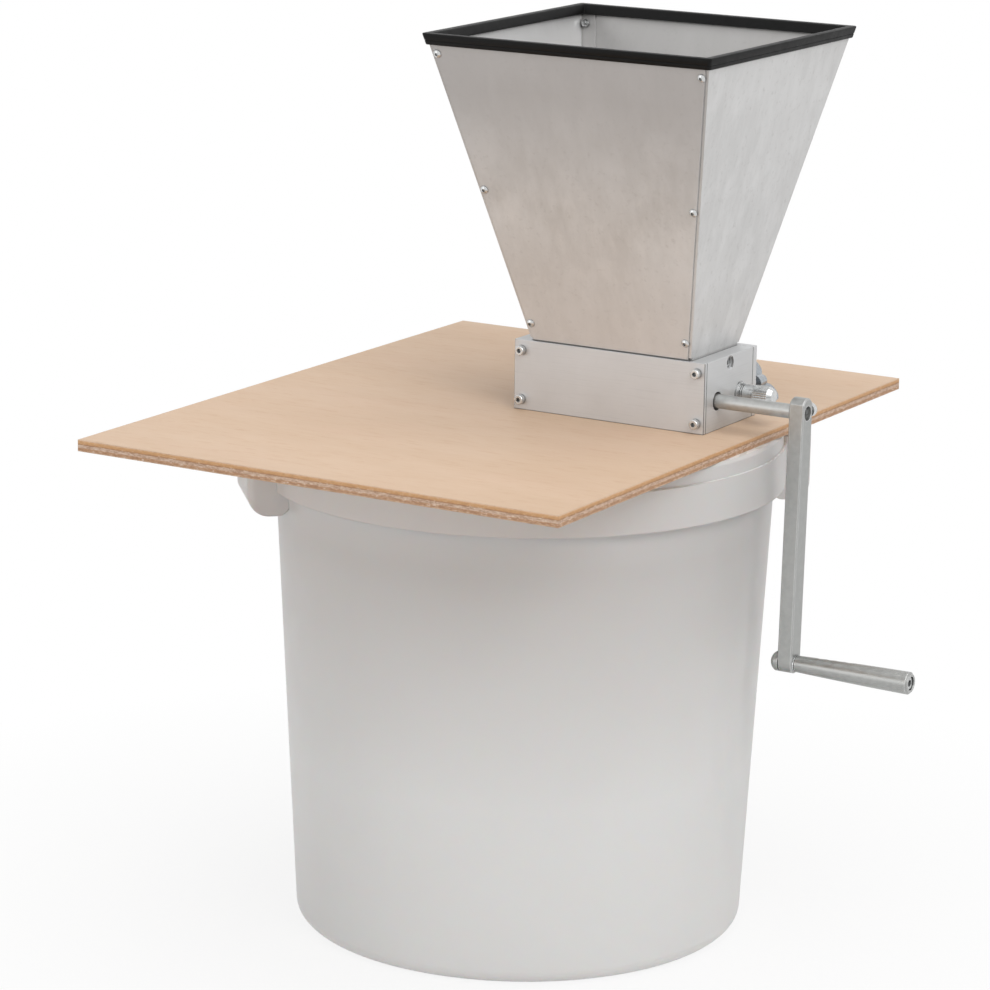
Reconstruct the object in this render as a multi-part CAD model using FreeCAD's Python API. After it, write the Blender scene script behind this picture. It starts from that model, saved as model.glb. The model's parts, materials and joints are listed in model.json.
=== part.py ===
import FreeCAD, Part
import math
import os
from FreeCAD import Vector

# A two-roller hand grain mill on a plywood board that stands on a bucket.
# Millimetres.  Origin on the floor under the bucket's centre, Z up, X along
# the crank shaft towards the crank, the mill's front plate faces -Y.

# Bucket
bucket_height = 364.0
bucket_foot_radius = 160.0
bucket_neck_radius = 178.0
bucket_wall = 2.5
bucket_foot_round = 10.0
band_stand_off = 6.0
band_height = 40.0
bead_height = 11.0
bead_step = 2.0
grip_reach = 17.5
grip_width = 62.0
grip_drop = 17.0
grip_corner = 6.0
grip_lower_corner = 15.0
grip_inner_corner = 8.5
grip_angles = (222.0, 42.0)

# Board
board_width = 375.0
board_depth = 500.0
board_thick = 8.0
board_x = -12.0
board_y = -8.0
slot_margin = 9.0
slot_corner = 5.0

# Mill housing
roller_radius = 15.9
roller_length = 126.0
roller_end_play = 0.5
block_thick = 12.0
front_plate_thick = 3.0
rear_plate_thick = 6.0
housing_height = 50.0
mill_offset_x = 81.0
mill_offset_y = 2.0
axle_height = 20.6
plate_gap = 0.5
plate_chamfer = 0.4
plate_screw_inset = 7.4
board_screw_spread = 14.0
board_screw_grip = 9.0

# Rollers, bushes and gap adjusters
tooth_count = 56
tooth_depth = 0.8
shaft_radius = 5.0
idler_shaft_radius = 4.5
running_clearance = 0.05
bush_wall = 2.2
bush_recess = 4.5
bush_recess_clearance = 1.6
eccentricity = 1.5
tight_gap = 0.4
rest_turn = 65.0
adjuster_wall = 2.2
rear_gap = 1.0
lock_stand_off = 8.0
lock_tip_gap = 0.3
wing_lean = 50.0
knob_flange_radius = 7.6
knob_flange_thick = 1.8
knob_neck_radius = 6.5
knob_neck_length = 12.5
knob_radius = 7.0
knob_grip_length = 11.0
knob_groove = 0.7
knob_teeth = 28
knob_tooth_depth = 0.5
knob_tip_radius = 4.8
knob_tip_length = 3.0

# Hopper
sheet = 1.0
collar_depth = 11.0
collar_clearance = 0.2
seat_gap = 1.0
seat_ledge = 2.0
hopper_height = 217.0
mouth_width = 217.0
mouth_depth = 214.0
flange_width = 12.0
panel_inset = 2.2
hopper_screw_inset = 4.6
hopper_screw_levels = (0.06, 0.505, 0.945)
trim_wall = 1.9
trim_height = 6.4
grub_radius = 4.0
grub_recess = 2.5
grub_chamfer = 1.0

# Crank
arm_length = 175.5
arm_thick = 11.0
arm_width = 14.0
arm_end_reach = 10.5
arm_end_rise = 4.2
arm_clearance = 19.0
arm_lean = 1.85
shaft_recess = 4.0
shaft_flat = 0.8
shaft_centre_radius = 2.0
grip_length = 86.0
grip_end_radius = 7.8
grip_neck_radius = 5.8
grip_bolt_radius = 3.0
grip_end_play = 0.4

# Screws: radius of the thread, then the head's size
plate_thread = 2.5
plate_head_radius = 4.25
plate_head_height = 5.0
board_thread = 3.0
board_head_radius = 6.0
hopper_thread = 1.5
hopper_head_radius = 2.9
hopper_head_height = 1.8
hopper_screw_end = 1.5
nut_width = 5.5
nut_height = 2.4
lock_thread = 3.0
clamp_thread = 3.0
hole_clearance = 0.1

# Levels and places that follow from the sizes above
band_radius = bucket_neck_radius + band_stand_off
board_base = bucket_height
board_top = board_base + board_thick
housing_top = board_top + housing_height
clear_width = roller_length + 2 * roller_end_play
mill_x = board_x + mill_offset_x
inner_right = mill_x + clear_width / 2
outer_right = inner_right + block_thick
mid_block = inner_right + block_thick / 2
front_face = board_y + mill_offset_y
front_inner = front_face + front_plate_thick
drive_y = front_inner + plate_gap + roller_radius
axle_z = board_top + axle_height
adjuster_y = drive_y + 2 * roller_radius + tight_gap + eccentricity
rear_inner = adjuster_y + eccentricity + roller_radius + rear_gap
rear_face = rear_inner + rear_plate_thick
mill_y = (front_inner + rear_inner) / 2
adjuster_radius = idler_shaft_radius + eccentricity + adjuster_wall
idler_y = adjuster_y - eccentricity * math.cos(math.radians(rest_turn))
idler_z = axle_z + eccentricity * math.sin(math.radians(rest_turn))
collar_half_x = clear_width / 2 - collar_clearance
collar_half_y = (rear_inner - front_inner) / 2 - collar_clearance
funnel_base = housing_top + seat_gap
funnel_half_y = collar_half_y + seat_ledge
hopper_top = housing_top + hopper_height
hopper_slope_x = (mouth_width / 2 - collar_half_x) / (hopper_top - funnel_base)
hopper_slope_y = (mouth_depth / 2 - funnel_half_y) / (hopper_top - funnel_base)
arm_inner = band_radius + arm_clearance
arm_outer = arm_inner + arm_thick
grip_y = drive_y - arm_length * math.sin(math.radians(arm_lean))
grip_z = axle_z - arm_length * math.cos(math.radians(arm_lean))

X = Vector(1, 0, 0)
Y = Vector(0, 1, 0)
Z = Vector(0, 0, 1)


# Small tools

def box(x0, x1, y0, y1, z0, z1):
    return Part.makeBox(x1 - x0, y1 - y0, z1 - z0, Vector(x0, y0, z0))


def rod(radius, length, start, axis):
    return Part.makeCylinder(radius, length, start, axis)


def place(shape, base, axis):
    """Stand a shape that was drawn along Z on a point, along another axis."""
    shape.Placement = FreeCAD.Placement(base, FreeCAD.Rotation(Z, axis))
    return shape


def prism(points, length):
    outline = Part.makePolygon(points + points[:1])
    return Part.Face(outline).extrude(Z * length)


def hexagon(across_flats, length):
    corner = across_flats / math.sqrt(3)
    turns = [math.radians(60 * i) for i in range(6)]
    return prism([Vector(corner * math.cos(a), corner * math.sin(a), 0) for a in turns], length)


def toothed(radius, depth, count, length):
    """A straight-knurled cylinder along Z."""
    points = []
    for i in range(2 * count):
        angle = math.pi * i / count
        reach = radius - depth * (i % 2)
        points.append(Vector(reach * math.cos(angle), reach * math.sin(angle), 0))
    return prism(points, length)


def turned(edges):
    """Spin a closed outline, drawn in the XZ plane, about Z."""
    return Part.Face(Part.Wire(edges)).revolve(Vector(), Z, 360)


def lines(points):
    return [Part.makeLine(a, b) for a, b in zip(points, points[1:])]


def crown(radius, low, high):
    """An arc from a rim up to the axis, with its centre on the axis."""
    ball = (radius ** 2 + (high - low) ** 2) / (2 * (high - low))
    half_turn = math.asin(radius / ball) / 2
    middle = Vector(ball * math.sin(half_turn), 0, high - ball + ball * math.cos(half_turn))
    return Part.Arc(Vector(radius, 0, low), middle, Vector(0, 0, high)).toShape()


def mirrored(shape):
    return shape.mirror(Vector(mill_x, 0, 0), X)


def both_ends(shape):
    return Part.makeCompound([shape, mirrored(shape)])


def save(name, shape):
    shape.exportStep("parts/" + name + ".step")


# Screws, drawn along Z with the head's seat at z = 0

def cap_screw(thread, length, head_radius, head_height):
    screw = rod(thread, length, Vector(0, 0, -length), Z)
    screw = screw.fuse(rod(head_radius, head_height, Vector(), Z))
    socket = hexagon(head_radius, head_height)
    socket.translate(Z * head_height * 0.45)
    return screw.cut(socket).removeSplitter()


def button_screw(thread, length, head_radius, head_height):
    rim = head_height * 0.25
    edges = lines([Vector(0, 0, head_height), Vector(0, 0, -length), Vector(thread, 0, -length),
                   Vector(thread, 0, 0), Vector(head_radius, 0, 0), Vector(head_radius, 0, rim)])
    socket = hexagon(head_radius * 0.75, head_height)
    socket.translate(Z * head_height * 0.4)
    return turned(edges + [crown(head_radius, rim, head_height)]).cut(socket)


# Bucket

def bucket_radius(z):
    return bucket_foot_radius + (bucket_neck_radius - bucket_foot_radius) * z / bucket_height


def bucket():
    top = bucket_height
    band_base = top - band_height
    band_top = top - bead_height
    bead = band_radius - bead_step
    skirt = band_radius - bucket_wall
    inside = bucket_wall
    round_end = bucket_foot_round
    foot = Vector(bucket_foot_radius - round_end, 0, 0)
    knee = Vector(bucket_foot_radius - round_end * (1 - math.sqrt(0.5)), 0, round_end * (1 - math.sqrt(0.5)))
    wall_start = Vector(bucket_radius(round_end), 0, round_end)
    outside = lines([Vector(), foot])
    outside.append(Part.Arc(foot, knee, wall_start).toShape())
    outside += lines([
        wall_start,
        Vector(bucket_radius(band_top), 0, band_top - bucket_wall),
        Vector(skirt, 0, band_top - bucket_wall),
        Vector(skirt, 0, band_base),
        Vector(band_radius, 0, band_base),
        Vector(band_radius, 0, band_top),
        Vector(bead, 0, band_top),
        Vector(bead, 0, top - bead_step),
        Vector(bead - bead_step, 0, top),
        Vector(bucket_radius(top) - inside, 0, top),
        Vector(bucket_radius(round_end) - inside, 0, round_end),
        Vector(bucket_radius(round_end) - round_end, 0, inside),
        Vector(0, 0, inside),
        Vector()])
    shell = turned(outside)
    for angle in grip_angles:
        hold = hand_grip()
        hold.rotate(Vector(), Z, angle)
        shell = shell.fuse(hold)
    return shell.removeSplitter()


def grip_outline(inset):
    """Plan of a hand grip: a rounded tray that grows out of the band along X."""
    reach = band_radius + grip_reach - inset
    half = grip_width / 2 - inset
    corner = grip_corner - inset
    start = bucket_radius(bucket_height) / 2
    turn = corner * math.sqrt(0.5)
    edges = []
    for side in (1, -1):
        straight = Part.makeLine(Vector(start, side * half, 0), Vector(reach - corner, side * half, 0))
        middle = Vector(reach - corner + turn, side * (half - corner + turn), 0)
        bend = Part.Arc(Vector(reach - corner, side * half, 0), middle, Vector(reach, side * (half - corner), 0))
        edges += [straight, bend.toShape()]
    edges.append(Part.makeLine(Vector(reach, half - corner, 0), Vector(reach, corner - half, 0)))
    edges.append(Part.makeLine(Vector(start, half, 0), Vector(start, -half, 0)))
    return Part.Face(Part.Wire(Part.__sortEdges__(edges)))


def grip_end_view(base, top):
    """A hand grip seen from its end, its underside rounded towards the wall and the outer edge."""
    start = bucket_radius(bucket_height) / 2
    reach = band_radius + grip_reach
    outer = grip_lower_corner
    wall = math.sqrt(bucket_radius(base) ** 2 - (grip_width / 2) ** 2)
    inner = grip_inner_corner
    bend = 1 - math.sqrt(0.5)
    edges = lines([Vector(reach, 0, base + outer), Vector(reach, 0, top), Vector(start, 0, top),
                   Vector(start, 0, base + inner), Vector(wall, 0, base + inner)])
    edges.append(Part.Arc(Vector(wall, 0, base + inner), Vector(wall + inner * bend, 0, base + inner * bend),
                          Vector(wall + inner, 0, base)).toShape())
    edges += lines([Vector(wall + inner, 0, base), Vector(reach - outer, 0, base)])
    edges.append(Part.Arc(Vector(reach - outer, 0, base), Vector(reach - outer * bend, 0, base + outer * bend),
                          Vector(reach, 0, base + outer)).toShape())
    return Part.Face(Part.Wire(edges))


def hand_grip():
    """A top plate with an end rib on each side and a short outer skirt, open from below."""
    top = bucket_height - bead_height
    base = bucket_height - band_height - grip_drop
    tray = grip_outline(0).extrude(Z * (top - base))
    tray = tray.cut(grip_outline(bucket_wall).extrude(Z * (top - base - bucket_wall)))
    tray.translate(Z * base)
    form = grip_end_view(base, top).extrude(Y * grip_width)
    form.translate(Y * -grip_width / 2)
    hub = Part.makeCone(bucket_radius(base) - bucket_wall / 2, bucket_radius(top) - bucket_wall / 2, top - base,
                        Vector(0, 0, base), Z)
    return tray.common(form).cut(hub)


# Board

def board_screw_places():
    return [Vector(x, mill_y + spread, board_base)
            for x in (mid_block, 2 * mill_x - mid_block)
            for spread in (-board_screw_spread, board_screw_spread)]


def countersunk_screw(clearance):
    """Head down, drawn along Z from its flat head at z = 0."""
    thread = board_thread + clearance
    head = board_head_radius + clearance
    depth = board_head_radius - board_thread
    screw = rod(thread, board_thick + board_screw_grip, Vector(), Z)
    return screw.fuse(Part.makeCone(head, thread, depth, Vector(), Z))


def baseboard():
    board = box(board_x - board_width / 2, board_x + board_width / 2,
                board_y - board_depth / 2, board_y + board_depth / 2, board_base, board_top)
    slot = box(mill_x - clear_width / 2 + slot_margin, inner_right - slot_margin,
               front_inner + slot_margin, rear_inner - slot_margin, board_base, board_top)
    uprights = [e for e in slot.Edges if abs(e.tangentAt(e.FirstParameter).z) > 0.9]
    board = board.cut(slot.makeFillet(slot_corner, uprights))
    for spot in board_screw_places():
        board = board.cut(place(countersunk_screw(hole_clearance), spot, Z))
    return board


def baseboard_screws():
    screws = []
    for spot in board_screw_places():
        screw = countersunk_screw(0)
        socket = hexagon(board_thread * 1.3, board_thread)
        screws.append(place(screw.cut(socket), spot, Z))
    return Part.makeCompound(screws)


# Housing

def chamfered(shape):
    return shape.makeChamfer(plate_chamfer, shape.Edges)


def plate_screw_levels():
    return (board_top + plate_screw_inset, housing_top - plate_screw_inset)


def plate_screw_depth():
    return min(drive_y - shaft_radius - bush_wall - front_inner, rear_inner - adjuster_y - adjuster_radius) - 1


def end_block():
    """The right-hand block; the left one is its mirror image."""
    block = chamfered(box(inner_right, outer_right, front_inner, rear_inner, board_top, housing_top))
    drive = Vector(inner_right, drive_y, axle_z)
    bush_length = block_thick - bush_recess
    block = block.cut(rod(shaft_radius + bush_wall, bush_length, drive, X))
    block = block.cut(rod(shaft_radius + bush_recess_clearance, block_thick, drive, X))
    adjuster = Vector(inner_right, adjuster_y, axle_z)
    block = block.cut(rod(adjuster_radius + running_clearance, block_thick, adjuster, X))
    lock = Vector(mid_block, adjuster_y, axle_z)
    block = block.cut(rod(lock_thread + running_clearance, rear_inner - adjuster_y, lock, Y))
    grub = Vector(inner_right, mill_y, housing_top - collar_depth / 2)
    block = block.cut(rod(grub_radius, block_thick, grub, X))
    mouth = Vector(outer_right - grub_chamfer, grub.y, grub.z)
    block = block.cut(Part.makeCone(grub_radius, grub_radius + grub_chamfer, grub_chamfer, mouth, X))
    depth = plate_screw_depth()
    for level in plate_screw_levels():
        block = block.cut(rod(plate_thread, depth, Vector(mid_block, front_inner, level), Y))
        block = block.cut(rod(plate_thread, depth, Vector(mid_block, rear_inner, level), -Y))
    for spot in board_screw_places()[:2]:
        block = block.cut(rod(board_thread, board_screw_grip, Vector(spot.x, spot.y, board_top), Z))
    return block


def cover_plate(near, far):
    plate = chamfered(box(2 * mill_x - outer_right, outer_right, near, far, board_top, housing_top))
    for level in plate_screw_levels():
        hole = rod(plate_thread + hole_clearance, far - near, Vector(mid_block, near, level), Y)
        plate = plate.cut(both_ends(hole))
    return plate


def rear_plate():
    plate = cover_plate(rear_inner, rear_face)
    hole = rod(lock_thread + running_clearance, rear_plate_thick, Vector(mid_block, rear_inner, axle_z), Y)
    return plate.cut(both_ends(hole))


def plate_screws(face, axis, plate_thick):
    screws = []
    for level in plate_screw_levels():
        screw = cap_screw(plate_thread, plate_thick + plate_screw_depth(), plate_head_radius, plate_head_height)
        screw = place(screw, Vector(mid_block, face, level), axis)
        screws += [screw, mirrored(screw)]
    return Part.makeCompound(screws)


def drive_bushes():
    start = Vector(inner_right, drive_y, axle_z)
    bush = rod(shaft_radius + bush_wall, block_thick - bush_recess, start, X)
    bush = bush.cut(rod(shaft_radius + running_clearance, block_thick, start, X))
    return both_ends(bush)


# Rollers

def roller(y, z, bore):
    start = Vector(mill_x - roller_length / 2, y, z)
    body = place(toothed(roller_radius, tooth_depth, tooth_count, roller_length), start, X)
    return body.cut(rod(bore, roller_length, start, X))


def drive_shaft():
    left = 2 * mill_x - outer_right
    right = arm_outer - shaft_recess
    shaft = rod(shaft_radius, right - left, Vector(left, drive_y, axle_z), X)
    flat = box(arm_inner, right, drive_y + shaft_radius - shaft_flat, drive_y + 2 * shaft_radius,
               axle_z - shaft_radius, axle_z + shaft_radius)
    flat.rotate(Vector(0, drive_y, axle_z), X, -arm_lean)
    centre = Part.makeCone(shaft_centre_radius, 0, shaft_centre_radius, Vector(right, drive_y, axle_z), -X)
    return shaft.cut(flat).cut(centre)


def idler_reach():
    return inner_right + block_thick * 0.75


def idler_shaft():
    length = 2 * (idler_reach() - mill_x)
    return rod(idler_shaft_radius, length, Vector(2 * mill_x - idler_reach(), idler_y, idler_z), X)


def gap_adjuster():
    """Right-hand adjuster: a bush bored off centre, with a knurled knob outside."""
    start = Vector(inner_right, adjuster_y, axle_z)
    body = rod(adjuster_radius, block_thick, start, X)
    neck = Vector(outer_right, adjuster_y, axle_z)
    knurl = neck + X * knob_neck_length
    tip = knurl + X * knob_grip_length
    flange = rod(knob_flange_radius, knob_flange_thick, neck, X)
    knob = place(toothed(knob_radius, knob_tooth_depth, knob_teeth, knob_grip_length), knurl, X)
    nose = Part.makeCone(knob_neck_radius, knob_tip_radius, knob_tip_length, tip, X)
    body = body.fuse([flange, rod(knob_neck_radius, knob_neck_length, neck, X), knob, nose])
    for step in (1, 3):
        groove = neck + X * (knob_flange_thick + step * knob_groove)
        ring = rod(knob_radius, knob_groove, groove, X)
        body = body.cut(ring.cut(rod(knob_neck_radius - knob_groove, knob_groove, groove, X)))
    pocket = idler_reach() + roller_end_play - inner_right
    bore = rod(idler_shaft_radius + running_clearance, pocket, Vector(inner_right, idler_y, idler_z), X)
    return body.cut(bore)


def wing_screw():
    """Right-hand lock screw, in from the rear against the adjuster."""
    tip = adjuster_y + adjuster_radius + lock_tip_gap
    hub_radius = 2 * lock_thread
    wing_radius = 1.2 * hub_radius
    hub_length = plate_head_height + wing_radius
    seat = rear_face + lock_stand_off
    screw = rod(lock_thread, seat - tip, Vector(0, 0, tip - seat), Z)
    screw = screw.fuse(Part.makeCone(hub_radius, hub_radius * 0.75, hub_length, Vector(), Z))
    wing_thick = lock_thread
    for side in (1, -1):
        centre = Vector(side * 1.75 * hub_radius, -wing_thick / 2, hub_length)
        wing = rod(wing_radius, wing_thick, centre, Y)
        screw = screw.fuse(wing)
    screw.rotate(Vector(), Z, wing_lean)
    return place(screw.removeSplitter(), Vector(mid_block, seat, axle_z), Y)


# Hopper

def hopper_half_x(z):
    return collar_half_x + hopper_slope_x * max(0, z - funnel_base)


def hopper_half_y(z):
    return funnel_half_y + hopper_slope_y * (z - funnel_base)


def frustum(low, high, low_x, high_x, low_y, high_y):
    """A block on the mill's centre whose half sizes change evenly from one level to the next."""
    form = Part.makeWedge(-low_x, low, -low_y, -high_y, -high_x, low_x, high, low_y, high_y, high_x)
    form.rotate(Vector(), X, 90)
    form.translate(Vector(mill_x, mill_y, 0))
    return form


def funnel_form(low, high, inset_x, inset_y):
    return frustum(low, high, hopper_half_x(low) - inset_x, hopper_half_x(high) - inset_x,
                   hopper_half_y(low) - inset_y, hopper_half_y(high) - inset_y)


def hopper_form(inset_x, inset_y, lift):
    """The hopper's outer form, a funnel over a narrower collar, set in from its faces and ledge."""
    ledge = funnel_base + lift
    collar_x = collar_half_x - inset_x
    collar_y = collar_half_y - inset_y
    form = funnel_form(ledge, hopper_top, inset_x, inset_y)
    form = form.fuse(frustum(housing_top - collar_depth, funnel_base, collar_x, collar_x, collar_y, collar_y))
    if lift:
        form = form.fuse(frustum(funnel_base, ledge, collar_x, hopper_half_x(ledge) - inset_x, collar_y, collar_y))
    return form.removeSplitter()


def hopper_screw_places():
    """Centres on the outer face of the front panel."""
    spots = []
    for level in hopper_screw_levels:
        z = housing_top + level * hopper_height
        half_x = hopper_half_x(z) - hopper_screw_inset
        y = mill_y - hopper_half_y(z)
        spots += [Vector(mill_x + side * half_x, y, z) for side in (1, -1)]
    return spots


def front_normal():
    return Vector(0, -1, -hopper_slope_y).normalize()


def on_front_and_rear(shapes):
    rear = [s.mirror(Vector(0, mill_y, 0), Y) for s in shapes]
    return shapes + rear


def hopper_holes():
    depth = 4 * sheet
    radius = hopper_thread + hole_clearance
    holes = [rod(radius, 2 * depth, spot + front_normal() * depth, front_normal() * -1)
             for spot in hopper_screw_places()]
    return Part.makeCompound(on_front_and_rear(holes))


def hopper_flat_panels():
    """Front and rear sheets, laid over the flanges of the side sheets."""
    sheets = hopper_form(panel_inset, 0, 0).cut(hopper_form(-sheet, sheet, sheet))
    sheets = sheets.cut(hopper_holes())
    return sorted(sheets.Solids, key=lambda s: s.CenterOfMass.y)


def hopper_side_panels():
    """Left and right sheets, folded in along their front and rear edges."""
    sheets = hopper_form(0, sheet, sheet).cut(hopper_form(sheet, 2 * sheet, 2 * sheet))
    sheets = sheets.cut(hopper_form(flange_width, 0, 0))
    sheets = sheets.cut(hopper_holes())
    return sorted(sheets.Solids, key=lambda s: s.CenterOfMass.x)


def hopper_screws():
    length = 2 * sheet + nut_height + hopper_screw_end
    screws = [place(button_screw(hopper_thread, length, hopper_head_radius, hopper_head_height), spot, front_normal())
              for spot in hopper_screw_places()]
    return Part.makeCompound(on_front_and_rear(screws))


def hopper_nuts():
    under = 2 * sheet * math.cos(math.atan(hopper_slope_y))
    nuts = []
    for spot in hopper_screw_places():
        nut = hexagon(nut_width, nut_height)
        nut = nut.cut(rod(hopper_thread, nut_height, Vector(), Z))
        nuts.append(place(nut, spot - front_normal() * under, front_normal() * -1))
    return Part.makeCompound(on_front_and_rear(nuts))


def hopper_rim_trim(panels):
    """A rubber channel pressed over the sheets' top edge, mitred at the corners."""
    low = hopper_top - trim_height + trim_wall
    high = hopper_top + trim_wall
    trim = funnel_form(low, high, -trim_wall, -trim_wall)
    trim = trim.cut(funnel_form(low, high, sheet + trim_wall, 2 * sheet + trim_wall))
    level_edges = [e for e in trim.Edges if abs(e.tangentAt(e.FirstParameter).z) < 0.1]
    trim = trim.makeFillet(trim_wall * 0.55, level_edges)
    return trim.cut(Part.makeCompound(panels))


def hopper_grub_screws():
    start = Vector(inner_right - collar_clearance, mill_y, housing_top - collar_depth / 2)
    length = block_thick - grub_recess + collar_clearance
    screw = rod(grub_radius, length, start, X)
    socket = place(hexagon(grub_radius, grub_radius), start + X * (length - grub_radius * 0.8), X)
    return both_ends(screw.cut(socket))


# Crank, drawn with the arm straight down and then leaned forward

def leaned(shape):
    shape.rotate(Vector(0, drive_y, axle_z), X, -arm_lean)
    return shape


def crank_arm():
    half = arm_width / 2
    top = axle_z + arm_end_reach
    shoulder = top - arm_end_rise
    low = axle_z - arm_length
    front = drive_y - half
    back = drive_y + half
    edges = [
        Part.makeLine(Vector(arm_inner, front, low), Vector(arm_inner, front, shoulder)),
        Part.Arc(Vector(arm_inner, front, shoulder), Vector(arm_inner, drive_y, top),
                 Vector(arm_inner, back, shoulder)).toShape(),
        Part.makeLine(Vector(arm_inner, back, shoulder), Vector(arm_inner, back, low)),
        Part.Arc(Vector(arm_inner, back, low), Vector(arm_inner, drive_y, low - half),
                 Vector(arm_inner, front, low)).toShape()]
    arm = Part.Face(Part.Wire(edges)).extrude(X * arm_thick)
    arm = arm.makeChamfer(arm_thick / 14, [e for e in arm.Edges if abs(e.tangentAt(e.FirstParameter).x) < 0.5])
    arm = arm.cut(rod(shaft_radius, arm_thick, Vector(arm_inner, drive_y, axle_z), X))
    arm = arm.cut(rod(grip_bolt_radius, arm_thick, Vector(arm_inner, drive_y, low), X))
    arm = arm.cut(rod(clamp_thread, arm_width, Vector(arm_inner + arm_thick / 2, drive_y, axle_z), Y))
    return leaned(arm)


def crank_clamp_screw():
    """A dome-headed set screw from the arm's rear onto the flat of the shaft."""
    seat = drive_y + arm_width / 2 + 1.4 * clamp_thread
    tip = drive_y + shaft_radius - shaft_flat - seat
    radius = 1.6 * clamp_thread
    rim = 1.5 * clamp_thread
    top = 2.6 * clamp_thread
    edges = lines([Vector(0, 0, top), Vector(0, 0, tip), Vector(clamp_thread, 0, tip), Vector(clamp_thread, 0, 0),
                   Vector(radius, 0, 0), Vector(radius, 0, rim)])
    edges.append(crown(radius, rim, top))
    return leaned(place(turned(edges), Vector(arm_inner + arm_thick / 2, seat, axle_z), Y))


def grip_start():
    return arm_outer + handle_washer_thick() + grip_end_play


def handle_washer_thick():
    return grip_bolt_radius / 3


def bolt_head_radius():
    return grip_bolt_radius * 1.5


def grip_end_bevel():
    return grip_end_radius / 5


def handle_grip():
    """A bored handle that swells from its neck and is bevelled at its outer end."""
    bevel = grip_end_bevel()
    bore = grip_bolt_radius + running_clearance
    pocket = bolt_head_radius() + grip_end_play
    depth = 2 * grip_bolt_radius + bevel
    end = grip_length
    belly = grip_neck_radius + (grip_end_radius - grip_neck_radius) * 0.65
    swell = Part.Arc(Vector(grip_neck_radius, 0, 0), Vector(belly, 0, end / 2),
                     Vector(grip_end_radius, 0, end - bevel))
    edges = [swell.toShape()]
    edges += lines([
        Vector(grip_end_radius, 0, end - bevel), Vector(grip_end_radius - bevel, 0, end),
        Vector(pocket, 0, end), Vector(pocket, 0, end - depth),
        Vector(bore, 0, end - depth), Vector(bore, 0, 0), Vector(grip_neck_radius, 0, 0)])
    return place(turned(edges), Vector(grip_start(), grip_y, grip_z), X)


def handle_bolt():
    """The grip's axle: a socket screw through the grip and the arm."""
    seat = grip_start() + grip_length - 2 * grip_bolt_radius - grip_end_bevel() + grip_end_play
    length = seat - arm_inner + grip_bolt_radius
    bolt = cap_screw(grip_bolt_radius, length, bolt_head_radius(), 2 * grip_bolt_radius)
    return place(bolt, Vector(seat, grip_y, grip_z), X)


def handle_washer():
    start = Vector(arm_outer, grip_y, grip_z)
    washer = rod(2 * grip_bolt_radius, handle_washer_thick(), start, X)
    return washer.cut(rod(grip_bolt_radius, handle_washer_thick(), start, X))


def handle_dome_nut():
    radius = arm_width / 2
    flat = grip_bolt_radius
    thread = grip_bolt_radius
    top = flat + radius * 0.6
    edges = lines([Vector(0, 0, top), Vector(0, 0, thread), Vector(thread, 0, thread), Vector(thread, 0, 0),
                   Vector(radius, 0, 0), Vector(radius, 0, flat)])
    edges.append(crown(radius, flat, top))
    return place(turned(edges), Vector(arm_inner, grip_y, grip_z), -X)


# Every piece, written under its own name

os.makedirs("parts", exist_ok=True)

save("bucket", bucket())
save("baseboard", baseboard())
save("baseboard_screws", baseboard_screws())

right_block = end_block()
save("right_end_block", right_block)
save("left_end_block", mirrored(right_block))
save("front_plate", cover_plate(front_face, front_inner))
save("rear_plate", rear_plate())
save("front_plate_screws", plate_screws(front_face, -Y, front_plate_thick))
save("rear_plate_screws", plate_screws(rear_face, Y, rear_plate_thick))
save("drive_bushes", drive_bushes())

save("drive_roller", roller(drive_y, axle_z, shaft_radius))
save("drive_shaft", drive_shaft())
save("idler_roller", roller(idler_y, idler_z, idler_shaft_radius))
save("idler_shaft", idler_shaft())
adjuster = gap_adjuster()
save("right_gap_adjuster", adjuster)
save("left_gap_adjuster", mirrored(adjuster))
lock = wing_screw()
save("right_wing_screw", lock)
save("left_wing_screw", mirrored(lock))

front_panel, rear_panel = hopper_flat_panels()
left_panel, right_panel = hopper_side_panels()
save("hopper_front_panel", front_panel)
save("hopper_rear_panel", rear_panel)
save("hopper_left_panel", left_panel)
save("hopper_right_panel", right_panel)
save("hopper_screws", hopper_screws())
save("hopper_nuts", hopper_nuts())
save("hopper_rim_trim", hopper_rim_trim([front_panel, rear_panel, left_panel, right_panel]))
save("hopper_grub_screws", hopper_grub_screws())

save("crank_arm", crank_arm())
save("crank_clamp_screw", crank_clamp_screw())
save("handle_grip", handle_grip())
save("handle_bolt", handle_bolt())
save("handle_washer", handle_washer())
save("handle_dome_nut", handle_dome_nut())
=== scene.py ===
import json
import math

import bmesh
import bpy
from mathutils import Matrix, Vector


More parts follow.
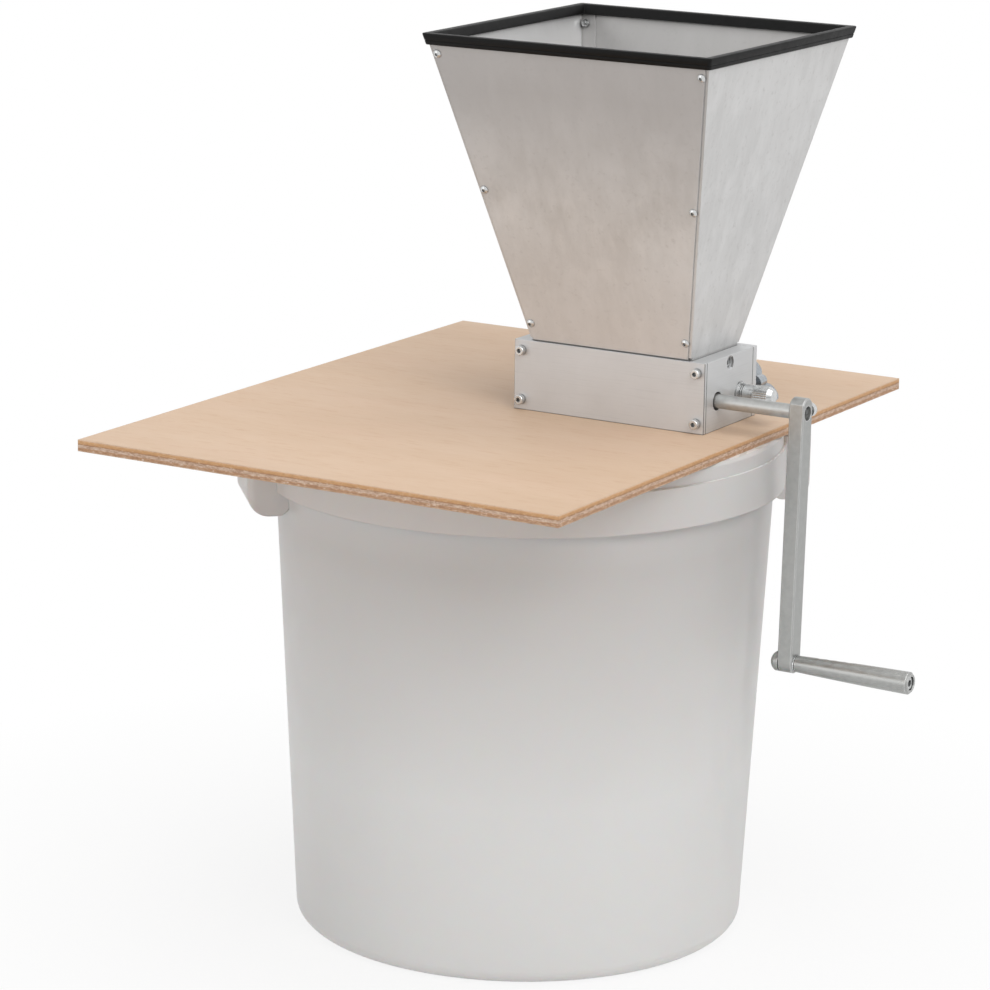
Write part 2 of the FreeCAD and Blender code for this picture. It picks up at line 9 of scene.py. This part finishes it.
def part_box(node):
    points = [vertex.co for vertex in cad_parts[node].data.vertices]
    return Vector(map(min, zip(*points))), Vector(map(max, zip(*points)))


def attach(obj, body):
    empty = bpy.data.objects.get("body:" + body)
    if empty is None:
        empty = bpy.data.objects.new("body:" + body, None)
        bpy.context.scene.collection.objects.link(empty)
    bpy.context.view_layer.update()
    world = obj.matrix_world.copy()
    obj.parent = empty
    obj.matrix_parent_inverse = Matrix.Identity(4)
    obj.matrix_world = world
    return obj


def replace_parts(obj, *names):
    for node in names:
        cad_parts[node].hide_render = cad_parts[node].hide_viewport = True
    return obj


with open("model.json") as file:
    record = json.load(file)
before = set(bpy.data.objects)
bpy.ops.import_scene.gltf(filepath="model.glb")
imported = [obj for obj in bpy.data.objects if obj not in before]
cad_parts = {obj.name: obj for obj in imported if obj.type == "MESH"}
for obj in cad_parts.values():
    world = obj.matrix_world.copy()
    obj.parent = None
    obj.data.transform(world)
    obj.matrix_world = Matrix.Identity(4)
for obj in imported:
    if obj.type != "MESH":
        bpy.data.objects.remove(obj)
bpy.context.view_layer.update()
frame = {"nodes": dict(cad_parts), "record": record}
nodes = frame["nodes"]


# Node helpers

class Look:
    """A material with short ways to add nodes to it."""

    edge_samples = 4
    seam_samples = 6

    def __init__(self, name):
        self.material = bpy.data.materials.new(name)
        self.material.use_nodes = True
        self.tree = self.material.node_tree
        self.shader = self.tree.nodes["Principled BSDF"]
        coordinates = self.tree.nodes.new("ShaderNodeTexCoord")
        self.place = coordinates.outputs["Object"]
        self.normal = coordinates.outputs["Normal"]

    def feed(self, socket, value):
        """Links a socket to another one or gives it a value; a colour is red, green and blue."""
        if isinstance(value, bpy.types.NodeSocket):
            self.tree.links.new(value, socket)
        elif socket.type == "RGBA":
            socket.default_value = (*value, 1.0)
        else:
            socket.default_value = value

    def set(self, **values):
        """Feeds the shader's sockets, named with underscores for spaces."""
        for name, value in values.items():
            self.feed(self.shader.inputs[name.replace("_", " ")], value)

    def stretched(self, x, y, z):
        """The place on the object, drawn out along some axes."""
        node = self.tree.nodes.new("ShaderNodeMapping")
        self.feed(node.inputs["Vector"], self.place)
        node.inputs["Scale"].default_value = (x, y, z)
        return node.outputs["Vector"]

    def noise(self, scale, detail=3.0, rough=0.55, place=None):
        node = self.tree.nodes.new("ShaderNodeTexNoise")
        self.feed(node.inputs["Vector"], place or self.place)
        node.inputs["Scale"].default_value = scale
        node.inputs["Detail"].default_value = detail
        node.inputs["Roughness"].default_value = rough
        return node.outputs["Fac"]

    def ramp(self, value, *stops):
        """Colours that follow each other as a value rises."""
        node = self.tree.nodes.new("ShaderNodeValToRGB")
        self.feed(node.inputs["Fac"], value)
        marks = node.color_ramp.elements
        while len(marks) < len(stops):
            marks.new(0.5)
        for mark, (position, colour) in zip(marks, stops):
            mark.position = position
            mark.color = (*colour, 1.0)
        return node.outputs["Color"]

    def span(self, value, low, high, to_low, to_high):
        """A value between low and high, mapped to another range and held at its ends."""
        node = self.tree.nodes.new("ShaderNodeMapRange")
        self.feed(node.inputs["Value"], value)
        node.inputs["From Min"].default_value = low
        node.inputs["From Max"].default_value = high
        node.inputs["To Min"].default_value = to_low
        node.inputs["To Max"].default_value = to_high
        return node.outputs["Result"]

    def mix(self, factor, first, second):
        """The first colour, turned into the second as the factor rises to 1."""
        node = self.tree.nodes.new("ShaderNodeMix")
        node.data_type = "RGBA"
        self.feed(node.inputs["Factor"], factor)
        self.feed(next(i for i in node.inputs if i.identifier == "A_Color"), first)
        self.feed(next(i for i in node.inputs if i.identifier == "B_Color"), second)
        return next(o for o in node.outputs if o.identifier == "Result_Color")

    def calc(self, kind, first, second=0.0):
        node = self.tree.nodes.new("ShaderNodeMath")
        node.operation = kind
        self.feed(node.inputs[0], first)
        self.feed(node.inputs[1], second)
        return node.outputs[0]

    def product(self, first, *others):
        for other in others:
            first = self.calc("MULTIPLY", first, other)
        return first

    def axis(self, vector, name):
        node = self.tree.nodes.new("ShaderNodeSeparateXYZ")
        self.feed(node.inputs[0], vector)
        return node.outputs[name]

    def soft_edge(self, radius):
        """A normal that rounds sharp edges."""
        node = self.tree.nodes.new("ShaderNodeBevel")
        node.samples = self.edge_samples
        node.inputs["Radius"].default_value = radius
        return node.outputs["Normal"]

    def painted_edge_highlight(self, colour, width, bright, amount):
        """A colour with a painted highlight where the surface turns a sharp edge."""
        flat, turned = 0.98, 0.85
        surface = self.tree.nodes.new("ShaderNodeNewGeometry")
        turn = self.tree.nodes.new("ShaderNodeVectorMath")
        turn.operation = "DOT_PRODUCT"
        self.feed(turn.inputs[0], surface.outputs["Normal"])
        self.feed(turn.inputs[1], self.soft_edge(width))
        return self.mix(self.span(turn.outputs["Value"], flat, turned, 0.0, amount), colour, bright)

    def painted_seam_shade(self, colour, reach, dark, amount=0.75):
        """A colour with painted shade in seams and recesses narrower than a reach."""
        closed, open_air = 0.35, 0.85
        node = self.tree.nodes.new("ShaderNodeAmbientOcclusion")
        node.samples = self.seam_samples
        node.inputs["Distance"].default_value = reach
        return self.mix(self.span(node.outputs["AO"], closed, open_air, amount, 0.0), colour, dark)

    def bump(self, height, distance, strength=1.0, normal=None):
        node = self.tree.nodes.new("ShaderNodeBump")
        self.feed(node.inputs["Height"], height)
        node.inputs["Distance"].default_value = distance
        node.inputs["Strength"].default_value = strength
        if normal is not None:
            self.feed(node.inputs["Normal"], normal)
        return node.outputs["Normal"]


def grey(value):
    return (value, value, value)


def shaded(colour, share):
    return tuple(part * share for part in colour)


# Materials

def hopper_sheet():
    """Bare rolled sheet, cloudy and faintly streaked, with painted shade inside, on the inner rear wall,
    towards the front's top and in seams, painted light on the inner left wall and a painted reflection
    near the front's foot.
    """
    look = Look("hopper_sheet")
    low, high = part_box("hopper_front_panel")
    clouds = look.noise(14.0, 6.0, 0.65)
    patches = look.noise(46.0, 4.0, 0.6, look.stretched(1.0, 1.0, 0.6))
    streaks = look.noise(120.0, 4.0, 0.65, look.stretched(1.0, 1.0, 0.06))
    specks = look.noise(260.0, 3.0, 0.6)
    colour = look.ramp(clouds, (0.32, (0.60, 0.597, 0.592)), (0.68, (0.70, 0.698, 0.695)))
    colour = look.mix(look.span(patches, 0.48, 0.68, 0.0, 0.60), colour, (0.76, 0.758, 0.757))
    colour = look.mix(look.span(streaks, 0.40, 0.72, 0.0, 0.40), colour, (0.78, 0.778, 0.777))
    colour = look.mix(look.span(specks, 0.58, 0.76, 0.0, 0.45), colour, (0.48, 0.47, 0.46))
    tilt = look.axis(look.normal, "Z")
    inside = look.calc("GREATER_THAN", tilt, 0.1)
    outside = look.calc("LESS_THAN", tilt, -0.1)
    left_wall = look.span(look.axis(look.normal, "X"), 0.5, 0.8, 0.0, 1.0)
    frontward = look.span(look.axis(look.normal, "Y"), -0.5, -0.8, 0.0, 1.0)
    height = look.span(look.axis(look.place, "Z"), low.z, high.z, 0.0, 1.0)
    # Masks over the front's height: painted shade near its top and a painted reflection near its foot.
    painted_top_shade = look.span(height, 0.45, 0.85, 0.0, 0.75)
    painted_foot_reflection = look.span(height, 0.0, 0.5, 0.55, 0.0)
    # Painted shade over every inner face.
    colour = look.mix(look.product(inside, 0.35), colour, (0.44, 0.435, 0.43))
    # Painted light on the inner face of the left wall.
    colour = look.mix(look.product(left_wall, inside, 0.7), colour, grey(0.80))
    # Painted shade on the inner face of the rear wall.
    colour = look.mix(look.product(frontward, inside, 0.55), colour, (0.34, 0.33, 0.32))
    # Painted shade towards the top of the front's outer face.
    colour = look.mix(look.product(frontward, outside, painted_top_shade), colour, (0.42, 0.40, 0.39))
    # Painted reflection, light and cool, towards the foot of the front's outer face.
    colour = look.mix(look.product(frontward, outside, painted_foot_reflection), colour, (0.84, 0.86, 0.89))
    # Painted shade in seams and recesses.
    colour = look.painted_seam_shade(colour, 0.0025, (0.16, 0.155, 0.15))
    grain = look.noise(700.0, 2.0, 0.5, look.stretched(1.0, 1.0, 0.05))
    unevenness = look.calc("ADD", clouds, look.product(streaks, 0.5))
    look.set(Base_Color=colour, Metallic=look.span(inside, 0.0, 1.0, 0.3, 0.45),
             Roughness=look.span(unevenness, 0.5, 1.0, 0.38, 0.52),
             Normal=look.bump(grain, 0.00004, 0.4, look.soft_edge(0.0004)))
    return look.material


def rim_rubber():
    """Black rubber with a trace of dust."""
    look = Look("rim_rubber")
    dust = look.noise(160.0, 5.0, 0.7)
    look.set(Base_Color=look.ramp(dust, (0.3, grey(0.003)), (0.8, grey(0.008))), Specular_IOR_Level=0.15,
             Roughness=look.span(dust, 0.3, 0.7, 0.38, 0.55),
             Normal=look.bump(look.noise(900.0), 0.0001, 0.3, look.soft_edge(0.0006)))
    return look.material


def plywood():
    """Pale birch face, and plies that show along the edges."""
    look = Look("plywood")
    clouds = look.noise(7.0, 5.0, 0.6, look.stretched(0.45, 1.0, 1.0))
    flame = look.noise(26.0, 6.0, 0.7, look.stretched(0.22, 1.0, 1.0))
    blush = look.noise(15.0, 4.0, 0.6, look.stretched(0.5, 1.0, 1.0))
    pores = look.noise(260.0, 3.0, 0.7, look.stretched(0.2, 1.0, 1.0))
    face = look.ramp(clouds, (0.30, (0.69, 0.49, 0.335)), (0.70, (0.76, 0.555, 0.395)))
    face = look.mix(look.span(flame, 0.45, 0.70, 0.0, 0.35), face, (0.80, 0.615, 0.465))
    face = look.mix(look.span(blush, 0.50, 0.72, 0.0, 0.35), face, (0.73, 0.50, 0.36))
    face = look.mix(look.span(pores, 0.56, 0.74, 0.0, 0.40), face, (0.62, 0.39, 0.24))
    low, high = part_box("baseboard")
    level = look.span(look.axis(look.place, "Z"), low.z, high.z, 0.0, 1.0)
    wobble = look.product(look.noise(55.0, 2.0), 0.06)
    plies = look.ramp(look.calc("ADD", level, wobble),
                      (0.08, (0.68, 0.45, 0.29)), (0.16, (0.48, 0.26, 0.14)), (0.32, (0.56, 0.32, 0.18)),
                      (0.38, (0.66, 0.47, 0.35)), (0.58, (0.64, 0.45, 0.33)), (0.64, (0.42, 0.21, 0.10)),
                      (0.72, (0.62, 0.33, 0.14)), (0.93, (0.70, 0.40, 0.19)), (0.98, (0.80, 0.56, 0.38)))
    flecks = look.noise(760.0, 3.0, 0.75, look.stretched(0.4, 0.4, 1.2))
    inner = look.span(level, 0.60, 0.72, 1.0, 0.35)
    dark = look.product(look.span(flecks, 0.50, 0.60, 0.0, 0.6), inner)
    pale = look.product(look.span(flecks, 0.34, 0.44, 0.7, 0.0), inner)
    edge = look.mix(dark, plies, (0.34, 0.17, 0.09))
    edge = look.mix(pale, edge, (0.82, 0.69, 0.57))
    upright = look.calc("LESS_THAN", look.calc("ABSOLUTE", look.axis(look.normal, "Z")), 0.5)
    look.set(Base_Color=look.mix(upright, face, edge), Roughness=look.span(pores, 0.3, 0.7, 0.48, 0.6),
             Normal=look.bump(pores, 0.00015, 0.25, look.soft_edge(0.0008)))
    return look.material


def bucket_plastic():
    """Milky moulded plastic, with a painted shadow of the board outside, greyer towards the band."""
    look = Look("bucket_plastic")
    low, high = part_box("bucket")
    clouds = look.noise(6.0, 4.0)
    colour = look.ramp(clouds, (0.3, (0.81, 0.795, 0.785)), (0.7, (0.84, 0.825, 0.815)))
    height = look.span(look.axis(look.place, "Z"), low.z, high.z, 0.0, 1.0)
    middle = (low + high) / 2
    across = look.calc("SUBTRACT", look.axis(look.place, "X"), middle.x)
    along = look.calc("SUBTRACT", look.axis(look.place, "Y"), middle.y)
    outward = look.calc("ADD", look.product(across, look.axis(look.normal, "X")),
                        look.product(along, look.axis(look.normal, "Y")))
    outside = look.calc("GREATER_THAN", outward, 0.0)
    # Painted shadow of the board on the outside, rising up the wall, darkest just under the band and
    # lighter on it.
    rising = look.span(height, 0.35, 0.8, 0.0, 0.8)
    on_band = look.span(height, 0.82, 0.88, 0.8, 0.6)
    painted_board_shadow = look.product(outside, look.calc("MINIMUM", rising, on_band))
    colour = look.mix(painted_board_shadow, colour, (0.58, 0.555, 0.54))
    look.set(Base_Color=colour, Roughness=look.span(look.noise(40.0), 0.3, 0.7, 0.40, 0.52),
             Normal=look.bump(look.noise(420.0, 2.0), 0.00006, 0.3, look.soft_edge(0.0015)),
             Subsurface_Weight=0.15, Subsurface_Scale=0.006)
    return look.material


def brushed(name, colour, along, rough):
    """Brushed metal, its fine lines running along one axis, with painted shade on its upright bevels and
    in its seams.
    """
    look = Look(name)
    drawn_out = 0.02
    stretches = [drawn_out if axis == along else 1.0 for axis in "XYZ"]
    lines = look.noise(1400.0, 2.0, 0.5, look.stretched(*stretches))
    clouds = look.noise(35.0, 5.0, 0.65)
    shade = look.mix(clouds, shaded(colour, 0.86), colour)
    shade = look.mix(look.span(lines, 0.55, 0.75, 0.0, 0.2), shade, shaded(colour, 0.7))
    slant = look.calc("ABSOLUTE", look.product(look.axis(look.normal, "X"), look.axis(look.normal, "Y")))
    # Painted shade on the upright bevels.
    shade = look.mix(look.calc("GREATER_THAN", slant, 0.3), shade, grey(0.16))
    # Painted shade in seams and recesses.
    look.set(Base_Color=look.painted_seam_shade(shade, 0.0012, grey(0.06)), Metallic=0.4,
             Roughness=look.span(look.calc("ADD", lines, clouds), 0.6, 1.4, rough - 0.06, rough + 0.08),
             Normal=look.bump(lines, 0.00003, 0.3))
    return look.material


def plated(name, colour, rough, metallic=1.0, edge_highlight_amount=0.0):
    """Plated steel with a faint mottle, painted shade in its recesses and a painted highlight that may run
    along its edges.
    """
    look = Look(name)
    mottle = 0.85
    clouds = look.noise(220.0, 4.0, 0.6)
    shade = look.mix(look.span(clouds, 0.3, 0.7, 0.0, 1.0), shaded(colour, mottle), colour)
    # A painted highlight along sharp edges, where one is asked for.
    if edge_highlight_amount:
        shade = look.painted_edge_highlight(shade, 0.0011, grey(0.85), edge_highlight_amount)
    # Painted shade in recesses.
    look.set(Base_Color=look.painted_seam_shade(shade, 0.0022, grey(0.03)),
             Metallic=metallic, Roughness=look.span(clouds, 0.3, 0.7, rough, rough + 0.12),
             Normal=look.bump(clouds, 0.00004, 0.3, look.soft_edge(0.0003)))
    return look.material


looks = {
    "hopper_sheet": hopper_sheet(),
    "rim_rubber": rim_rubber(),
    "plywood": plywood(),
    "bucket_plastic": bucket_plastic(),
    "housing_metal": brushed("housing_metal", (0.69, 0.695, 0.705), "X", 0.42),
    "roller_steel": plated("roller_steel", (0.52, 0.525, 0.515), 0.36, 0.75),
    "crank_steel": plated("crank_steel", (0.41, 0.415, 0.405), 0.28, 0.85, edge_highlight_amount=0.8),
    "screw_steel": plated("screw_steel", (0.66, 0.67, 0.67), 0.20, 0.9),
    "bush_bronze": plated("bush_bronze", (0.62, 0.45, 0.25), 0.35),
}
own_looks = {
    "left_end_block": brushed("block_metal", (0.66, 0.668, 0.675), "Y", 0.40),
    "left_wing_screw": plated("blue_zinc", (0.40, 0.43, 0.46), 0.20, 0.9),
}
own_looks["right_end_block"] = own_looks["left_end_block"]
own_looks["right_wing_screw"] = own_looks["left_wing_screw"]
slot_of = {row["node"]: row["material_slot"] for row in frame["record"]["subparts"]}
for name, node in nodes.items():
    node.data.materials.clear()
    node.data.materials.append(own_looks.get(name, looks[slot_of[name]]))


# Pieces that stand in for plainer solids

def bridge(bm, rings):
    """Quads between each ring of corners and the next."""
    for first, second in zip(rings, rings[1:]):
        for i in range(len(first)):
            j = (i + 1) % len(first)
            bm.faces.new((first[i], first[j], second[j], second[i]))


def finished_piece(name, bm, body, slot):
    """The mesh as a piece of the part, smooth but for its sharp edges."""
    sharp_angle = math.radians(35)
    bmesh.ops.recalc_face_normals(bm, faces=bm.faces)
    mesh = bpy.data.meshes.new(name)
    bm.to_mesh(mesh)
    bm.free()
    mesh.shade_smooth()
    mesh.set_sharp_from_angle(angle=sharp_angle)
    mesh.materials.append(looks[slot])
    piece = bpy.data.objects.new(name, mesh)
    bpy.context.scene.collection.objects.link(piece)
    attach(piece, body)
    return piece


def rounded_ring(centre, half_x, half_y, radius, z):
    """Points around a rectangle with round corners."""
    steps = 6
    ring = []
    for corner, (side_x, side_y) in enumerate(((1, 1), (-1, 1), (-1, -1), (1, -1))):
        for step in range(steps + 1):
            angle = math.pi / 2 * (corner + step / steps)
            ring.append((centre.x + side_x * (half_x - radius) + radius * math.cos(angle),
                         centre.y + side_y * (half_y - radius) + radius * math.sin(angle), z))
    return ring


def channel_section():
    """Corners of the rim channel's section, as distances out from the sheet and up from its edge."""
    wall = 0.0021
    cover = 0.0022
    skirt = 0.0058
    inner_skirt = 0.0045
    sheets = 0.0021
    shoulder = 0.0009
    bend = 0.3 * shoulder
    groove = 0.0004
    slack = 0.0002
    inner = -sheets - wall
    side_line = -skirt / 2
    outer_side = [(slack, -skirt), (wall - groove, -skirt), (wall, groove - skirt),
                  (wall, side_line - groove), (wall - groove, side_line), (wall, side_line + groove)]
    top = [(wall, cover - shoulder), (wall - bend, cover - bend), (wall - shoulder, cover),
           (inner + shoulder, cover), (inner + bend, cover - bend), (inner, cover - shoulder)]
    inner_side = [(inner, -inner_skirt), (-sheets - slack, -inner_skirt),
                  (-sheets - slack, slack), (slack, slack)]
    return outer_side + top + inner_side


def rim_channel():
    """The rubber channel on the hopper's rim, with round corners and a line along its side."""
    corner_radius = 0.0008
    least_radius = 0.0004
    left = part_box("hopper_left_panel")[0]
    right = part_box("hopper_right_panel")[1]
    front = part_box("hopper_front_panel")[0]
    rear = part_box("hopper_rear_panel")[1]
    centre = Vector(((left.x + right.x) / 2, (front.y + rear.y) / 2, rear.z))
    half_x = (right.x - left.x) / 2
    half_y = (rear.y - front.y) / 2
    fall = rear.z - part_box("rear_plate")[1].z
    lean_x = (right.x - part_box("right_end_block")[0].x) / fall
    lean_y = (rear.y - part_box("rear_plate")[0].y) / fall
    bm = bmesh.new()
    rings = []
    for out, up in channel_section():
        points = rounded_ring(centre, half_x + lean_x * up + out, half_y + lean_y * up + out,
                              max(corner_radius + out, least_radius), rear.z + up)
        rings.append([bm.verts.new(point) for point in points])
    bridge(bm, rings + rings[:1])
    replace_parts(finished_piece("rim_channel", bm, "mill", "rim_rubber"), "hopper_rim_trim")


def screw_ring(centre, size, six_sided, turn):
    """Points around an axis along Y: a circle, or a hexagon that is twice the size across its flats."""
    count = 24
    sixth = math.pi / 3
    ring = []
    for step in range(count):
        angle = 2 * math.pi * step / count
        reach = size
        if six_sided:
            reach = size / math.cos((angle + sixth / 2) % sixth - sixth / 2)
        ring.append(centre + reach * Vector((math.cos(angle + turn), 0.0, math.sin(angle + turn))))
    return ring


def socket_head(bm, seat, side, turn):
    """One cap screw head on its seat, with a hexagon socket."""
    radius = 0.0034
    height = 0.0046
    bevel = 0.0004
    socket = 0.0015
    depth = 0.0026
    rings = []
    for size, out, six_sided in ((radius, 0.0, False), (radius, height - bevel, False),
                                 (radius - bevel, height, False), (socket, height, True),
                                 (socket, height - depth, True)):
        points = screw_ring(seat + Vector((0.0, side * out, 0.0)), size, six_sided, turn)
        rings.append([bm.verts.new(point) for point in points])
    bridge(bm, rings)
    bm.faces.new(rings[0])
    bm.faces.new(rings[-1])


def socket_heads(node, plate, side):
    """Cap screw heads on the places of a node's four screws, each turned a little differently."""
    solid_radius = 0.00425
    column_turn = 0.3
    row_turn = 0.5
    low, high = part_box(node)
    seat_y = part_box(plate)[0 if side < 0 else 1].y
    bm = bmesh.new()
    for column, x in enumerate((low.x + solid_radius, high.x - solid_radius)):
        for row, z in enumerate((low.z + solid_radius, high.z - solid_radius)):
            socket_head(bm, Vector((x, seat_y, z)), side, column_turn * column + row_turn * row)
    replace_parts(finished_piece(node + "_heads", bm, "mill", "screw_steel"), node)


rim_channel()
socket_heads("front_plate_screws", "front_plate", -1)
socket_heads("rear_plate_screws", "rear_plate", 1)


# Stage: floor, world, lamps and camera

def seen_directly(tree):
    """1 where the camera, a mirror or glass looks straight at a surface."""
    path = tree.nodes.new("ShaderNodeLightPath")
    seen = path.outputs["Is Camera Ray"]
    for ray in ("Is Glossy Ray", "Is Transmission Ray"):
        either = tree.nodes.new("ShaderNodeMath")
        either.operation = "MAXIMUM"
        tree.links.new(seen, either.inputs[0])
        tree.links.new(path.outputs[ray], either.inputs[1])
        seen = either.outputs[0]
    return seen


def stage_floor():
    """White where it is looked at, but for a share of its own shading, which keeps the object's shadow."""
    size = 30.0
    shadow_share = 0.15
    shadow_near, shadow_far = 0.2, 0.6
    corners = [(-size, -size, 0), (size, -size, 0), (size, size, 0), (-size, size, 0)]
    mesh = bpy.data.meshes.new("floor")
    mesh.from_pydata(corners, [], [(0, 1, 2, 3)])
    floor = bpy.data.objects.new("floor", mesh)
    bpy.context.scene.collection.objects.link(floor)
    material = bpy.data.materials.new("floor")
    material.use_nodes = True
    tree = material.node_tree
    shader = tree.nodes["Principled BSDF"]
    shader.inputs["Base Color"].default_value = (0.86, 0.86, 0.86, 1)
    shader.inputs["Roughness"].default_value = 0.9
    white = tree.nodes.new("ShaderNodeEmission")
    white.inputs["Strength"].default_value = 1.0
    place = tree.nodes.new("ShaderNodeTexCoord")
    away = tree.nodes.new("ShaderNodeVectorMath")
    away.operation = "LENGTH"
    tree.links.new(place.outputs["Object"], away.inputs[0])
    fade = tree.nodes.new("ShaderNodeMapRange")
    tree.links.new(away.outputs["Value"], fade.inputs["Value"])
    fade.inputs["From Min"].default_value = shadow_near
    fade.inputs["From Max"].default_value = shadow_far
    fade.inputs["To Min"].default_value = 1 - shadow_share
    share = tree.nodes.new("ShaderNodeMath")
    share.operation = "MULTIPLY"
    tree.links.new(seen_directly(tree), share.inputs[0])
    tree.links.new(fade.outputs["Result"], share.inputs[1])
    blend = tree.nodes.new("ShaderNodeMixShader")
    tree.links.new(share.outputs[0], blend.inputs[0])
    tree.links.new(shader.outputs[0], blend.inputs[1])
    tree.links.new(white.outputs[0], blend.inputs[2])
    tree.links.new(blend.outputs[0], tree.nodes["Material Output"].inputs["Surface"])
    mesh.materials.append(material)


def world_light():
    """Soft light from all around, and plain white where it is looked at."""
    soft_strength = 0.38
    world = bpy.data.worlds.new("studio")
    bpy.context.scene.world = world
    world.use_nodes = True
    tree = world.node_tree
    soft = tree.nodes["Background"]
    soft.inputs["Color"].default_value = (1.0, 0.99, 0.98, 1)
    soft.inputs["Strength"].default_value = soft_strength
    white = tree.nodes.new("ShaderNodeBackground")
    white.inputs["Color"].default_value = (1, 1, 1, 1)
    blend = tree.nodes.new("ShaderNodeMixShader")
    tree.links.new(seen_directly(tree), blend.inputs[0])
    tree.links.new(soft.outputs[0], blend.inputs[1])
    tree.links.new(white.outputs[0], blend.inputs[2])
    tree.links.new(blend.outputs[0], tree.nodes["World Output"].inputs["Surface"])


def lamp(name, place, target, size, power):
    """A round soft lamp aimed at a target."""
    data = bpy.data.lights.new(name, "AREA")
    data.shape = "DISK"
    data.size = size
    data.energy = power
    lamp_object = bpy.data.objects.new(name, data)
    bpy.context.scene.collection.objects.link(lamp_object)
    lamp_object.location = place
    lamp_object.rotation_euler = (Vector(target) - Vector(place)).to_track_quat("-Z", "Y").to_euler()


def photo_camera():
    """The camera found by fitting the board, housing, hopper rim and bucket to the photo."""
    azimuth = math.radians(30.703)
    elevation = math.radians(13.821)
    roll = math.radians(0.863)
    distance = 2.87312
    aim_right = -0.01643
    aim_up = 0.29966
    pixels_of_focus = 3949.9
    picture_width = 990
    back = Vector((math.sin(azimuth) * math.cos(elevation), -math.cos(azimuth) * math.cos(elevation),
                   math.sin(elevation)))
    level = Vector((math.cos(azimuth), math.sin(azimuth), 0.0))
    upright = back.cross(level)
    right = level * math.cos(roll) + upright * math.sin(roll)
    up = upright * math.cos(roll) - level * math.sin(roll)
    data = bpy.data.cameras.new("photo_camera")
    data.sensor_fit = "HORIZONTAL"
    data.sensor_width = 36.0
    data.lens = pixels_of_focus * data.sensor_width / picture_width
    camera = bpy.data.objects.new("photo_camera", data)
    bpy.context.scene.collection.objects.link(camera)
    turn = Matrix((right, up, back)).transposed().to_4x4()
    camera.matrix_world = Matrix.Translation(back * distance + right * aim_right + up * aim_up) @ turn
    bpy.context.scene.camera = camera


stage_floor()
world_light()
lamp("key", (2.4, -1.5, 2.5), (0.0, 0.0, 0.4), 2.0, 34.0)
lamp("fill", (-1.6, -2.7, 1.0), (0.0, 0.0, 0.3), 2.2, 13.0)
lamp("top", (0.5, -0.1, 3.0), (0.0, 0.0, 0.4), 2.4, 34.0)
photo_camera()
bpy.context.scene.view_settings.view_transform = "Standard"
